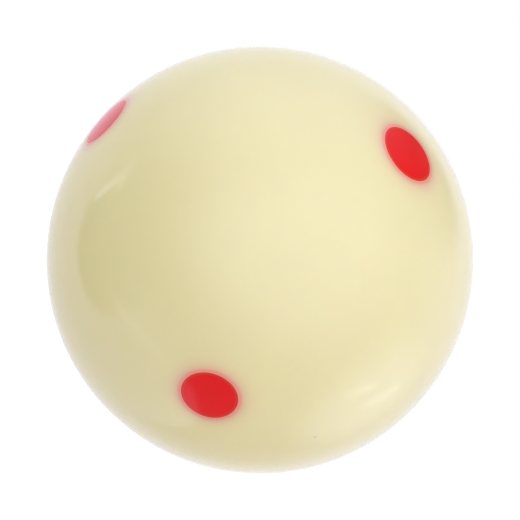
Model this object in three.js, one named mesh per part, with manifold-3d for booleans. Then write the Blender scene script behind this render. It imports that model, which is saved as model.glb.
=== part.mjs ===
// A cast pool cue ball with six round dots let into it. Millimetres, +Z up.
//
// The origin is the ball's centre. The dots sit on three axes at right angles through the centre,
// one at each end of each axis. +Z leans equally away from all three axes, so three dots make an
// upper ring, three make a lower ring, and the ball stands on plain body between the lower three.
// The front lower dot faces -Y.

import * as THREE from 'three';
import { mergeVertices } from 'three/addons/utils/BufferGeometryUtils.js';
import Module from 'manifold-3d';

// Driving dimensions.
const BALL_DIAMETER = 57.15;
const DOT_DIAMETER = 7.4;
const WIDE_DOT_DIAMETER = 8;
const DOT_DEPTH = 8;
const DRILL_POINT_ANGLE = 118;
const BOND_GAP = 0.25;

// How finely the round shapes are divided. BALL_DETAIL + 1 is even, which puts a corner of the
// faceted ball exactly on +X, -X, +Y, -Y, +Z and -Z.
const BALL_DETAIL = 15;
const DOT_SIDES = 32;
const CAP_STEPS = 3;

// How far the socket cutter stands out of the ball, so that it cuts the surface cleanly.
const CUTTER_OVERRUN = 2;

const BALL_RADIUS = BALL_DIAMETER / 2;

// An axis that makes the same angle with three perpendicular axes makes this angle with each.
const DOT_POLAR_ANGLE = Math.acos(1 / Math.sqrt(3));

const UPPER = 1;
const LOWER = -1;
const DOTS = [
  { name: 'dot_upper_front_right', ring: UPPER, azimuth: -30, diameter: WIDE_DOT_DIAMETER },
  { name: 'dot_upper_front_left', ring: UPPER, azimuth: -150, diameter: DOT_DIAMETER },
  { name: 'dot_upper_rear', ring: UPPER, azimuth: 90, diameter: DOT_DIAMETER },
  { name: 'dot_lower_front', ring: LOWER, azimuth: -90, diameter: DOT_DIAMETER },
  { name: 'dot_lower_rear_right', ring: LOWER, azimuth: 30, diameter: DOT_DIAMETER },
  { name: 'dot_lower_rear_left', ring: LOWER, azimuth: 150, diameter: DOT_DIAMETER },
];

const wasm = await Module();
wasm.setup();

// The unit vector from the ball's centre to the middle of a dot.
function dotDirection(dot) {
  const azimuth = THREE.MathUtils.degToRad(dot.azimuth);
  const reach = Math.sin(DOT_POLAR_ANGLE);
  const height = Math.cos(DOT_POLAR_ANGLE) * dot.ring;
  return new THREE.Vector3(reach * Math.cos(azimuth), reach * Math.sin(azimuth), height);
}

// The turn that carries a shape built along +Z onto the dot's own axis.
function dotRotation(dot) {
  return new THREE.Quaternion().setFromUnitVectors(new THREE.Vector3(0, 0, 1), dotDirection(dot));
}

// How far a drill's point reaches past the end of the straight wall.
function drillPointLength(radius) {
  return radius / Math.tan(THREE.MathUtils.degToRad(DRILL_POINT_ANGLE / 2));
}

// The profile points from the tip of the drilled socket to the start of its straight wall.
function drilledEnd(radius, depth) {
  const tip = BALL_RADIUS - depth;
  return [
    new THREE.Vector2(0, tip),
    new THREE.Vector2(radius, tip + drillPointLength(radius)),
  ];
}

// The dot's outer face: an arc of the ball's own surface, from the dot's edge to its middle.
function flushCap(radius) {
  const edgeAngle = Math.asin(radius / BALL_RADIUS);
  const points = [];
  for (let step = 0; step < CAP_STEPS; step += 1) {
    const angle = edgeAngle * (1 - step / CAP_STEPS);
    points.push(new THREE.Vector2(BALL_RADIUS * Math.sin(angle), BALL_RADIUS * Math.cos(angle)));
  }
  points.push(new THREE.Vector2(0, BALL_RADIUS));
  return points;
}

// A profile turned about +Z. LatheGeometry turns it about +Y, so it is tipped up afterwards.
function turned(profile) {
  return new THREE.LatheGeometry(profile, DOT_SIDES).rotateX(Math.PI / 2);
}

// The red plug: a pin with a drill-point end inside and a face flush with the ball outside.
function plugGeometry(dot) {
  const radius = dot.diameter / 2;
  return turned([...drilledEnd(radius, DOT_DEPTH), ...flushCap(radius)]);
}

// The space that the drill removes: the plug's shape with the bond gap round it.
function socketCutter(dot) {
  const radius = dot.diameter / 2 + BOND_GAP;
  const top = BALL_RADIUS + CUTTER_OVERRUN;
  const profile = [
    ...drilledEnd(radius, DOT_DEPTH + BOND_GAP),
    new THREE.Vector2(radius, top),
    new THREE.Vector2(0, top),
  ];
  return turned(profile).applyQuaternion(dotRotation(dot));
}

function toSolid(geometry) {
  geometry.deleteAttribute('normal');
  geometry.deleteAttribute('uv');
  const merged = mergeVertices(geometry);
  const mesh = new wasm.Mesh({
    numProp: 3,
    vertProperties: merged.attributes.position.array,
    triVerts: merged.index.array,
  });
  return new wasm.Manifold(mesh);
}

function toGeometry(solid) {
  const mesh = solid.getMesh();
  const geometry = new THREE.BufferGeometry();
  geometry.setAttribute('position', new THREE.BufferAttribute(mesh.vertProperties, 3));
  geometry.setIndex(new THREE.BufferAttribute(mesh.triVerts, 1));
  geometry.computeVertexNormals();
  return geometry;
}

function ivoryPhenolic() {
  return new THREE.MeshStandardMaterial({ color: 0xf4e6b4, roughness: 0.12, metalness: 0 });
}

function redPhenolic() {
  return new THREE.MeshStandardMaterial({ color: 0xf11b24, roughness: 0.12, metalness: 0 });
}

// The cast ball, with one drilled socket for each dot.
function ballBody() {
  let ball = toSolid(new THREE.IcosahedronGeometry(BALL_RADIUS, BALL_DETAIL));
  for (const dot of DOTS) {
    ball = ball.subtract(toSolid(socketCutter(dot)));
  }
  const body = new THREE.Mesh(toGeometry(ball), ivoryPhenolic());
  body.name = 'ball_body';
  return body;
}

function dotPlug(dot) {
  const plug = new THREE.Mesh(plugGeometry(dot), redPhenolic());
  plug.name = dot.name;
  plug.quaternion.copy(dotRotation(dot));
  return plug;
}

const cueBall = new THREE.Group();
cueBall.add(ballBody());
for (const dot of DOTS) {
  cueBall.add(dotPlug(dot));
}

export default cueBall;
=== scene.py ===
"""Looks for a cue ball: a cast ivory resin ball with six red resin dots let flush into it.

The CAD model gives the ball's centre and radius, and each plug's axis, radius and depth. This
script makes the fine surfaces from those, and adds the materials, stage, light and camera.
Metres, +Z up, the ball's centre at the origin.
"""

import math
from types import SimpleNamespace

import bmesh
import bpy
from mathutils import Matrix, Vector


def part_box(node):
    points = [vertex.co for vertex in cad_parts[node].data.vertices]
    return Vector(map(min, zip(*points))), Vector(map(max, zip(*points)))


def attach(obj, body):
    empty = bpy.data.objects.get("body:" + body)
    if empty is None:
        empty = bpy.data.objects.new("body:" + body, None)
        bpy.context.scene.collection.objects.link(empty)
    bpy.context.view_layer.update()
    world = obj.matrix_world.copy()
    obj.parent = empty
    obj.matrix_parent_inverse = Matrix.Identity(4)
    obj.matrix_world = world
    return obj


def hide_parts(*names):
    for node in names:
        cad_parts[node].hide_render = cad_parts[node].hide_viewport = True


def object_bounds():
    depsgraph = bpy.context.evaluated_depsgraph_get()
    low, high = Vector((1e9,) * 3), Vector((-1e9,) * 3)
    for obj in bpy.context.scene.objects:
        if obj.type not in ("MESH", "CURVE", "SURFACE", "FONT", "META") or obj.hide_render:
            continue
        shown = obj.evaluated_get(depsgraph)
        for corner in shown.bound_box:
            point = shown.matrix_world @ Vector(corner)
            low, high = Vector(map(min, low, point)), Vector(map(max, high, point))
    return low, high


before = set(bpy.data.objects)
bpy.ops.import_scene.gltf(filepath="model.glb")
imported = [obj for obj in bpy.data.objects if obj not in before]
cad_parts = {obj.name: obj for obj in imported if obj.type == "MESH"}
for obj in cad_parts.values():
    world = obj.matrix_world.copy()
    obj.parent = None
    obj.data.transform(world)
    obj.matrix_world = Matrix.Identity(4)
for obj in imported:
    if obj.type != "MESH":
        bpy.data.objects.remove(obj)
cad_low, cad_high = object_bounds()

MM = 0.001

# How finely the surfaces are divided. The ball's sides are a multiple of 8, so that the corners
# of the six patches it is made of fall on a side.
BALL_SIDES = 192
BALL_RINGS = 32
PLUG_SIDES = 96
CAP_RINGS = 12
WALL_RINGS = 6

# The film of resin between a plug and its socket.
BOND_LINE = 0.01 * MM

# An edge sharper than this is a real edge, and is not smoothed over. Corners closer together than
# the weld are one corner.
SHARP_ANGLE = math.radians(25)
WELD = 0.001 * MM

# In a CAD plug, corners at least this share of the radius from the axis are on its wall. Two axes
# with a cosine below SQUARE are taken to be perpendicular.
WALL_SHARE = 0.99
SQUARE = 0.5

# Ivory resin. Its colour drifts between the first two over lumps of CLOUD_SIZE.
IVORY = (0.905, 0.79, 0.45, 1.0)
IVORY_CLOUD = (0.925, 0.81, 0.46, 1.0)
CLOUD_SIZE = 14 * MM
CLOUD_DETAIL = 3.0

# Clouds and haze go from none to full between these two values of the noise.
NOISE_LOW = 0.3
NOISE_HIGH = 0.7

# Round each plug the ivory is painted with shade and with red light bleeding from the plug through
# the resin, which fade to a third over their reach. Right at the edge is a thin painted glow, a
# ring of brighter, more orange red light bleeding from the plug.
PAINTED_SHADE_BLEED_COLOUR = (0.79, 0.27, 0.28, 1.0)
PAINTED_SHADE_BLEED_REACH = 0.8 * MM
PAINTED_GLOW_COLOUR = (1.0, 0.36, 0.26, 1.0)
PAINTED_GLOW_FULL = 0.2 * MM
PAINTED_GLOW_ENDS = 0.65 * MM

# A faint speck cast into the ivory, low on the front.
SPECK_AZIMUTH = math.radians(-50)
SPECK_ELEVATION = math.radians(-47)
SPECK_SIZE = 0.45 * MM
SPECK_COLOUR = (0.74, 0.67, 0.40, 1.0)

# Red resin, with a thin dull line just inside each plug's edge. Its gloss is tinted too.
RED = (0.90, 0.006, 0.012, 1.0)
RED_DEEP = (0.87, 0.005, 0.011, 1.0)
RED_CLOUD_SIZE = 3 * MM
RED_GLOSS = (1.0, 0.6, 0.6, 1.0)
RIM_COLOUR = (0.74, 0.045, 0.035, 1.0)
RIM_INSET = 0.16 * MM
RIM_HALF_WIDTH = 0.24 * MM

# The polish and slight depth that both resins share.
RESIN_IOR = 1.57
POLISHED = 0.05
HAZY = 0.12
HAZE_SIZE = 9 * MM
HAZE_DETAIL = 4.0
MARK_WIDTH = 0.35 * MM
MARK_ROUGHNESS = 0.06
MARK_DEPTH = 0.0004 * MM
SCATTER_DEPTH = 0.12 * MM
IVORY_SCATTER = (1.0, 0.8, 0.45)
IVORY_SCATTER_SHARE = 0.6
RED_SCATTER = (1.0, 0.1, 0.08)
RED_SCATTER_SHARE = 0.2

# The polishing marks: how far each set of streaks is turned, in radians, and how its noise is
# stretched. Noise above MARK_STARTS begins to show as a streak, and is one by MARK_FULL.
MARK_SETS = [
    (0.6, (1.0, 1.0, 0.06)),
    (2.1, (0.06, 1.0, 1.0)),
]
MARK_DETAIL = 3.0
MARK_STARTS = 0.58
MARK_FULL = 0.75

# How far the camera stands from the ball's centre, and how far it sees, in ball radii.
CAMERA_RADII = 12.05
CAMERA_SEES = 100
CAMERA_AZIMUTH = math.radians(11.31)
CAMERA_ELEVATION = math.radians(3.16)
CAMERA_ROLL = math.radians(6.02)
CAMERA_LENS_MM = 177.6
CAMERA_SENSOR_MM = 36.0

# A pale table top, washed out to near white.
FLOOR_WIDTH = 4.0
FLOOR_COLOUR = (0.3, 0.3, 0.3, 1.0)
FLOOR_GLOW = (0.88, 0.88, 0.88, 1.0)

# The camera sees a plain white background.
BACKGROUND = (1.0, 1.0, 1.0, 1.0)

# The colours of the paper all round the ball, and of the lights and dim places in the studio.
PAPER = (1.0, 1.0, 1.1)
DAYLIGHT = (1.0, 1.05, 1.2)
WARM = (1.0, 0.9, 0.8)
BROWN = (1.0, 1.0, 0.4)

# How much of a patch is solid, from its middle outwards, before it starts to fade.
SOFT = 0.0
HALF_SOFT = 0.5
FIRM = 0.8
SHARP = 0.9

# The lights and dim places in the studio, each laid over those before it: the azimuth and
# elevation of its middle, how far it reaches from there, how much of it is solid, its strength and
# its colour. Angles are in degrees, in steps of 15.
STUDIO_PATCHES = [
    (0, -90, 60, SOFT, 0.5, WARM),  # the table in the ball's own shade
    (-90, -45, 30, SHARP, 1.0, PAPER),  # the lit table beyond the shade, on the left
    (135, 30, 30, HALF_SOFT, 0.25, WARM),  # a dim corner, high on the right
    (15, 30, 120, HALF_SOFT, 0.25, BROWN),  # the dim room that the camera stands in
    (30, 15, 75, SOFT, 1.4, DAYLIGHT),  # the window, in front
    (0, 90, 60, SOFT, 1.0, DAYLIGHT),  # the light overhead
    (-75, 0, 30, FIRM, 0.25, BROWN),  # a doorway on the left
    (120, -45, 30, SOFT, 1.5, DAYLIGHT),  # lit paper, low on the right
]

# Folds in the paper, as narrow strips laid over the rest: the azimuth and elevation of the middle,
# the tilt, half the length, half the width, the strength and the colour. Angles are in degrees.
PAPER_FOLDS = [
    (-90, 20, 45, 12, 3, 1.5, PAPER),  # upper left
    (-85, 25, -60, 7, 2, 1.25, PAPER),  # a shorter one across its end
    (-65, -35, -60, 20, 3, 1.25, PAPER),  # lower left
    (130, -40, 60, 10, 5, 2.0, DAYLIGHT),  # the longer of two, low on the right
    (110, -45, 60, 8, 4, 2.5, DAYLIGHT),  # the shorter
]

# A fold is solid along this share of its length, and across this share of its width.
FOLD_SOLID_LENGTH = 0.5
FOLD_SOLID_WIDTH = 0.2

# Where a Mix node set to colours has its two colours and its result, which share their names with
# those for other kinds of value.
FIRST_COLOUR = 6
SECOND_COLOUR = 7
MIXED_COLOUR = 2

ball_low, ball_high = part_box("ball_body")
CENTRE = (ball_low + ball_high) / 2
RADIUS = (ball_high.x - ball_low.x) / 2

PLUG_NAMES = sorted(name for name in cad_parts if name.startswith("dot_"))


# ---------------------------------------------------------------------------------------------
# Measures taken from the CAD model
# ---------------------------------------------------------------------------------------------


def measure_plug(name):
    """A plug's axis and sizes, from its CAD node, which is a shape turned about that axis."""
    corners = {tuple(round(c, 7) for c in v.co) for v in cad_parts[name].data.vertices}
    points = [Vector(corner) - CENTRE for corner in corners]
    axis = sum(points, Vector()).normalized()
    heights = [point.dot(axis) for point in points]
    widths = [(point - axis * height).length for point, height in zip(points, heights)]
    radius = max(widths)
    wall = [height for width, height in zip(widths, heights) if width > WALL_SHARE * radius]
    return SimpleNamespace(
        name=name, axis=axis, radius=radius, tip=min(heights), shoulder=min(wall)
    )


def square_axes(plugs):
    """Three exactly perpendicular axes along the plugs' own axes."""
    first = plugs[0].axis
    second = next(plug.axis for plug in plugs if abs(plug.axis.dot(first)) < SQUARE)
    third = first.cross(second).normalized()
    return first, third.cross(first), third


def nearest(directions, wanted):
    """The direction that points most nearly the way that is wanted."""
    return max(directions, key=wanted.dot)


plugs = [measure_plug(name) for name in PLUG_NAMES]
perpendicular = square_axes(plugs)
both_ways = [axis * sign for axis in perpendicular for sign in (1, -1)]
for plug in plugs:
    plug.axis = nearest(both_ways, plug.axis)
    plug.side = next(axis for axis in both_ways if abs(axis.dot(plug.axis)) < SQUARE)
    plug.up = plug.axis.cross(plug.side)


# ---------------------------------------------------------------------------------------------
# Meshes, built as stacks of rings about a plug's axis
# ---------------------------------------------------------------------------------------------


def turn_angles(sides):
    """The angle of each corner of a ring, once round."""
    return [2 * math.pi * side / sides for side in range(sides)]


def flat_ring(plug, sides, width, height):
    """A circle about the plug's axis, at a height above the ball's centre."""
    return [
        CENTRE + plug.axis * height
        + (plug.side * math.cos(turn) + plug.up * math.sin(turn)) * width
        for turn in turn_angles(sides)
    ]


def patch_ring(plug, sides, rim_angle, share):
    """A ring on the ball's surface, a share of the way from the socket's rim to the patch's edge.

    The ball is covered by six patches, one round each plug, that meet where two plugs' axes are
    equally far away. That edge is square when it is seen along the axis.
    """
    ring = []
    for turn in turn_angles(sides):
        from_middle = (turn + math.pi / 4) % (math.pi / 2) - math.pi / 4
        edge_angle = math.atan(1 / math.cos(from_middle))
        lean = rim_angle + (edge_angle - rim_angle) * share
        outward = plug.side * math.cos(turn) + plug.up * math.sin(turn)
        direction = plug.axis * math.cos(lean) + outward * math.sin(lean)
        ring.append(CENTRE + direction * RADIUS)
    return ring


def surface_height(width):
    """How far above the centre the ball's surface is, at this distance from an axis."""
    return math.sqrt(RADIUS ** 2 - width ** 2)


def wall_rings(plug, sides, width, shoulder):
    """The straight wall below the rim, down to and including the shoulder."""
    top = surface_height(width)
    heights = [top + (shoulder - top) * step / WALL_RINGS for step in range(1, WALL_RINGS + 1)]
    return [flat_ring(plug, sides, width, height) for height in heights]


def add_stack(mesh, rings, first_tip=None, last_tip=None):
    """Adds quads between each ring and the next, and a fan to a point at either end if given."""
    rows = [[mesh.verts.new(point) for point in ring] for ring in rings]
    sides = len(rows[0])
    for upper, lower in zip(rows, rows[1:]):
        for i in range(sides):
            j = (i + 1) % sides
            mesh.faces.new((upper[i], upper[j], lower[j], lower[i]))
    for tip, row in ((first_tip, rows[0]), (last_tip, rows[-1])):
        if tip is None:
            continue
        point = mesh.verts.new(tip)
        for i in range(sides):
            mesh.faces.new((point, row[i], row[(i + 1) % sides]))


def finished_piece(name, mesh):
    """A smooth-shaded object from a closed bmesh, with its real edges kept sharp."""
    bmesh.ops.remove_doubles(mesh, verts=mesh.verts, dist=WELD)
    bmesh.ops.recalc_face_normals(mesh, faces=mesh.faces)
    for face in mesh.faces:
        face.smooth = True
    for edge in mesh.edges:
        edge.smooth = edge.calc_face_angle(0) < SHARP_ANGLE
    data = bpy.data.meshes.new(name)
    mesh.to_mesh(data)
    mesh.free()
    piece = bpy.data.objects.new(name, data)
    bpy.context.scene.collection.objects.link(piece)
    return piece


def make_ball():
    """The cast ball: six patches of sphere, each with a drilled socket in its middle."""
    mesh = bmesh.new()
    for plug in plugs:
        width = plug.radius + BOND_LINE
        rim_angle = math.asin(width / RADIUS)
        shares = [step / BALL_RINGS for step in range(BALL_RINGS, -1, -1)]
        rings = [patch_ring(plug, BALL_SIDES, rim_angle, share) for share in shares]
        rings += wall_rings(plug, BALL_SIDES, width, plug.shoulder)
        bottom = CENTRE + plug.axis * (plug.tip - BOND_LINE)
        add_stack(mesh, rings, last_tip=bottom)
    return finished_piece("cast_ball", mesh)


def make_plug(plug):
    """A red pin: a cap flush with the ball, a straight wall and a drill-point end."""
    mesh = bmesh.new()
    rim_angle = math.asin(plug.radius / RADIUS)
    leans = [rim_angle * step / CAP_RINGS for step in range(1, CAP_RINGS + 1)]
    rings = [
        flat_ring(plug, PLUG_SIDES, RADIUS * math.sin(lean), RADIUS * math.cos(lean))
        for lean in leans
    ]
    rings += wall_rings(plug, PLUG_SIDES, plug.radius, plug.shoulder)
    top = CENTRE + plug.axis * RADIUS
    bottom = CENTRE + plug.axis * plug.tip
    add_stack(mesh, rings, first_tip=top, last_tip=bottom)
    return finished_piece(plug.name.replace("dot_", "plug_"), mesh)


# ---------------------------------------------------------------------------------------------
# Shader nodes
# ---------------------------------------------------------------------------------------------


def new_material(name):
    material = bpy.data.materials.new(name)
    material.use_nodes = True
    tree = material.node_tree
    tree.nodes.clear()
    surface = tree.nodes.new("ShaderNodeBsdfPrincipled")
    output = tree.nodes.new("ShaderNodeOutputMaterial")
    tree.links.new(surface.outputs["BSDF"], output.inputs["Surface"])
    return material, tree, surface


def put(tree, socket, value):
    """Sets an input to a value, or joins it to another node's output."""
    if isinstance(value, bpy.types.NodeSocket):
        tree.links.new(value, socket)
    else:
        socket.default_value = value


def object_position(tree):
    return tree.nodes.new("ShaderNodeTexCoord").outputs["Object"]


def arithmetic(tree, operation, *values):
    calculation = tree.nodes.new("ShaderNodeMath")
    calculation.operation = operation
    for index, value in enumerate(values):
        put(tree, calculation.inputs[index], value)
    return calculation.outputs["Value"]


def vector_arithmetic(tree, operation, first, second, output="Vector"):
    calculation = tree.nodes.new("ShaderNodeVectorMath")
    calculation.operation = operation
    put(tree, calculation.inputs[0], first)
    put(tree, calculation.inputs[1], second)
    return calculation.outputs[output]


def distance_between(tree, first, second):
    return vector_arithmetic(tree, "DISTANCE", first, second, "Value")


def noise(tree, position, feature_size, detail):
    """Soft random values from 0 to 1, with lumps of about feature_size metres."""
    texture = tree.nodes.new("ShaderNodeTexNoise")
    put(tree, texture.inputs["Vector"], position)
    put(tree, texture.inputs["Scale"], 1 / feature_size)
    put(tree, texture.inputs["Detail"], detail)
    return texture.outputs["Fac"]


def ramp(tree, value, from_low, from_high, to_low=0.0, to_high=1.0):
    """Maps a range of values smoothly onto another, held at both ends."""
    mapping = tree.nodes.new("ShaderNodeMapRange")
    mapping.interpolation_type = "SMOOTHSTEP"
    put(tree, mapping.inputs["Value"], value)
    put(tree, mapping.inputs["From Min"], from_low)
    put(tree, mapping.inputs["From Max"], from_high)
    put(tree, mapping.inputs["To Min"], to_low)
    put(tree, mapping.inputs["To Max"], to_high)
    return mapping.outputs["Result"]


def fading(tree, distance, reach):
    """1 at no distance, and about a third of that at each further reach."""
    return arithmetic(tree, "EXPONENT", arithmetic(tree, "DIVIDE", distance, -reach))


def mixed(tree, share, first, second):
    """The first colour where share is 0, and the second where it is 1."""
    mix = tree.nodes.new("ShaderNodeMix")
    mix.data_type = "RGBA"
    put(tree, mix.inputs["Factor"], share)
    put(tree, mix.inputs[FIRST_COLOUR], first)
    put(tree, mix.inputs[SECOND_COLOUR], second)
    return mix.outputs[MIXED_COLOUR]


def bump(tree, height, depth):
    """A surface normal from a height that runs from 0 to 1, over a depth in metres."""
    relief = tree.nodes.new("ShaderNodeBump")
    put(tree, relief.inputs["Height"], height)
    put(tree, relief.inputs["Distance"], depth)
    return relief.outputs["Normal"]


# ---------------------------------------------------------------------------------------------
# Materials
# ---------------------------------------------------------------------------------------------


def clouds(tree, position, size):
    """Soft lumps of about this size, from 0 to 1."""
    return ramp(tree, noise(tree, position, size, CLOUD_DETAIL), NOISE_LOW, NOISE_HIGH)


def polish_marks(tree, position):
    """Faint hairlines left by polishing and by the cloth, as two crossed sets of long streaks."""
    sets = []
    for turn, stretch in MARK_SETS:
        mapping = tree.nodes.new("ShaderNodeMapping")
        put(tree, mapping.inputs["Vector"], position)
        put(tree, mapping.inputs["Rotation"], (turn, turn, 0.0))
        put(tree, mapping.inputs["Scale"], stretch)
        streaks = noise(tree, mapping.outputs["Vector"], MARK_WIDTH, MARK_DETAIL)
        sets.append(ramp(tree, streaks, MARK_STARTS, MARK_FULL))
    return arithmetic(tree, "MAXIMUM", *sets)


def polished_resin(tree, surface, position):
    """The gloss and hairlines that both colours of resin share."""
    marks = polish_marks(tree, position)
    haze = noise(tree, position, HAZE_SIZE, HAZE_DETAIL)
    polish = ramp(tree, haze, NOISE_LOW, NOISE_HIGH, POLISHED, HAZY)
    roughness = arithmetic(tree, "MULTIPLY_ADD", marks, MARK_ROUGHNESS, polish)
    put(tree, surface.inputs["Roughness"], roughness)
    put(tree, surface.inputs["Normal"], bump(tree, marks, MARK_DEPTH))
    surface.inputs["IOR"].default_value = RESIN_IOR
    surface.inputs["Subsurface Scale"].default_value = SCATTER_DEPTH


def beyond_edge(tree, position, plug):
    """How far a point on the surface is outside a plug's edge. It is negative inside."""
    middle = CENTRE + plug.axis * RADIUS
    return arithmetic(tree, "SUBTRACT", distance_between(tree, position, middle), plug.radius)


def ball_point(azimuth, elevation):
    """The point on the ball's surface at these angles, with azimuth from +X towards +Y."""
    level = math.cos(elevation)
    direction = Vector((level * math.cos(azimuth), level * math.sin(azimuth), math.sin(elevation)))
    return CENTRE + direction * RADIUS


def ivory_resin():
    """Cream resin: faintly clouded, with painted shade and a painted red glow round each plug, and
    with one speck cast into it.
    """
    material, tree, surface = new_material("ivory_resin")
    position = object_position(tree)
    colour = mixed(tree, clouds(tree, position, CLOUD_SIZE), IVORY, IVORY_CLOUD)
    edge = beyond_edge(tree, position, plugs[0])
    for plug in plugs[1:]:
        edge = arithmetic(tree, "MINIMUM", edge, beyond_edge(tree, position, plug))
    # Painted shade and red light bleeding from the plugs, strongest at their edges and fading
    # outwards.
    colour = mixed(tree, fading(tree, edge, PAINTED_SHADE_BLEED_REACH), colour, PAINTED_SHADE_BLEED_COLOUR)
    # A thin painted ring of brighter, orange-red light right at each plug's edge.
    painted_glow = ramp(tree, edge, PAINTED_GLOW_FULL, PAINTED_GLOW_ENDS, 1.0, 0.0)
    colour = mixed(tree, painted_glow, colour, PAINTED_GLOW_COLOUR)
    from_speck = distance_between(tree, position, ball_point(SPECK_AZIMUTH, SPECK_ELEVATION))
    speck = ramp(tree, from_speck, 0.0, SPECK_SIZE, 1.0, 0.0)
    colour = mixed(tree, speck, colour, SPECK_COLOUR)
    put(tree, surface.inputs["Base Color"], colour)
    polished_resin(tree, surface, position)
    surface.inputs["Subsurface Weight"].default_value = IVORY_SCATTER_SHARE
    surface.inputs["Subsurface Radius"].default_value = IVORY_SCATTER
    return material


def red_resin(plug):
    """Red resin, a little deeper in places and along a line just inside the plug's edge."""
    material, tree, surface = new_material("red_resin_" + plug.name.replace("dot_", ""))
    position = object_position(tree)
    colour = mixed(tree, clouds(tree, position, RED_CLOUD_SIZE), RED, RED_DEEP)
    from_rim = arithmetic(tree, "ADD", beyond_edge(tree, position, plug), RIM_INSET)
    from_rim = arithmetic(tree, "ABSOLUTE", from_rim)
    rim = ramp(tree, from_rim, 0.0, RIM_HALF_WIDTH, 1.0, 0.0)
    colour = mixed(tree, rim, colour, RIM_COLOUR)
    put(tree, surface.inputs["Base Color"], colour)
    polished_resin(tree, surface, position)
    surface.inputs["Specular Tint"].default_value = RED_GLOSS
    surface.inputs["Subsurface Weight"].default_value = RED_SCATTER_SHARE
    surface.inputs["Subsurface Radius"].default_value = RED_SCATTER
    return material


# ---------------------------------------------------------------------------------------------
# Stage, light and camera
# ---------------------------------------------------------------------------------------------


def compass(azimuth, elevation):
    """The direction from the ball to a camera or light. Azimuth 0 is -Y, and 90 degrees is +X."""
    level = math.cos(elevation)
    return Vector((math.sin(azimuth) * level, -math.cos(azimuth) * level, math.sin(elevation)))


def make_camera():
    """A long lens from the front, slightly above and to the right, and rolled a little."""
    data = bpy.data.cameras.new("camera")
    data.lens = CAMERA_LENS_MM
    data.sensor_width = CAMERA_SENSOR_MM
    data.clip_start = RADIUS
    data.clip_end = CAMERA_SEES * RADIUS
    camera = bpy.data.objects.new("camera", data)
    bpy.context.scene.collection.objects.link(camera)
    back = compass(CAMERA_AZIMUTH, CAMERA_ELEVATION)
    aim = (-back).to_track_quat("-Z", "Y").to_matrix().to_4x4()
    roll = Matrix.Rotation(CAMERA_ROLL, 4, "Z")
    place = Matrix.Translation(CENTRE + back * (RADIUS * CAMERA_RADII))
    camera.matrix_world = place @ aim @ roll
    bpy.context.scene.camera = camera


def floor_material():
    """A matt surface that glows, so that it looks the same near white all over."""
    material, tree, surface = new_material("floor_paper")
    surface.inputs["Base Color"].default_value = FLOOR_COLOUR
    surface.inputs["Roughness"].default_value = 1.0
    surface.inputs["Specular IOR Level"].default_value = 0.0
    surface.inputs["Emission Color"].default_value = FLOOR_GLOW
    surface.inputs["Emission Strength"].default_value = 1.0
    return material


def make_floor():
    """The table top that the camera sees. It gives the ball no light, reflection or shadow."""
    mesh = bmesh.new()
    bmesh.ops.create_grid(mesh, x_segments=1, y_segments=1, size=FLOOR_WIDTH / 2)
    data = bpy.data.meshes.new("floor")
    mesh.to_mesh(data)
    mesh.free()
    floor = bpy.data.objects.new("floor", data)
    floor.location = (CENTRE.x, CENTRE.y, cad_low.z)
    bpy.context.scene.collection.objects.link(floor)
    data.materials.append(floor_material())
    floor.visible_diffuse = False
    floor.visible_glossy = False
    floor.visible_shadow = False


def patch(tree, direction, azimuth, elevation, solid, faded):
    """1 within the solid angle from the middle, fading to 0."""
    middle = compass(azimuth, elevation)
    cosine = vector_arithmetic(tree, "DOT_PRODUCT", direction, middle, "Value")
    return ramp(tree, cosine, math.cos(faded), math.cos(solid))


def fold(tree, direction, azimuth, elevation, tilt, half_length, half_width):
    """1 along the middle of a narrow strip, fading to 0 at its sides and ends."""
    rightward = Vector((math.cos(azimuth), math.sin(azimuth), 0))
    upward = rightward.cross(-compass(azimuth, elevation))
    side = upward * math.cos(tilt) - rightward * math.sin(tilt)
    across = vector_arithmetic(tree, "DOT_PRODUCT", direction, side, "Value")
    across = arithmetic(tree, "ABSOLUTE", across)
    width = math.sin(half_width)
    solid = FOLD_SOLID_LENGTH * half_length
    along = patch(tree, direction, azimuth, elevation, solid, half_length)
    across = ramp(tree, across, FOLD_SOLID_WIDTH * width, width, 1.0, 0.0)
    return arithmetic(tree, "MULTIPLY", along, across)


def radiance(strength, colour):
    """A colour at a strength, with the fourth channel that a colour socket has."""
    return (*(strength * channel for channel in colour), 1.0)


def make_light():
    """A soft studio: white all round, with broad lights, dim places and folds laid over it."""
    world = bpy.data.worlds.new("studio")
    world.use_nodes = True
    tree = world.node_tree
    tree.nodes.clear()
    direction = tree.nodes.new("ShaderNodeTexCoord").outputs["Generated"]
    light = radiance(1.0, PAPER)
    for azimuth, elevation, reach, solid, strength, colour in STUDIO_PATCHES:
        angles = map(math.radians, (azimuth, elevation, solid * reach, reach))
        light = mixed(tree, patch(tree, direction, *angles), light, radiance(strength, colour))
    for *degrees, strength, colour in PAPER_FOLDS:
        cover = fold(tree, direction, *map(math.radians, degrees))
        light = mixed(tree, cover, light, radiance(strength, colour))
    seen_directly = tree.nodes.new("ShaderNodeLightPath").outputs["Is Camera Ray"]
    light = mixed(tree, seen_directly, light, BACKGROUND)
    background = tree.nodes.new("ShaderNodeBackground")
    put(tree, background.inputs["Color"], light)
    output = tree.nodes.new("ShaderNodeOutputWorld")
    tree.links.new(background.outputs["Background"], output.inputs["Surface"])
    bpy.context.scene.world = world


# ---------------------------------------------------------------------------------------------
# The finished scene
# ---------------------------------------------------------------------------------------------

make_camera()
make_floor()
make_light()
bpy.context.scene.view_settings.view_transform = "Standard"

ball = make_ball()
ball.data.materials.append(ivory_resin())
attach(ball, "root")
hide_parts("ball_body")

for plug in plugs:
    piece = make_plug(plug)
    piece.data.materials.append(red_resin(plug))
    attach(piece, "root")
    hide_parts(plug.name)
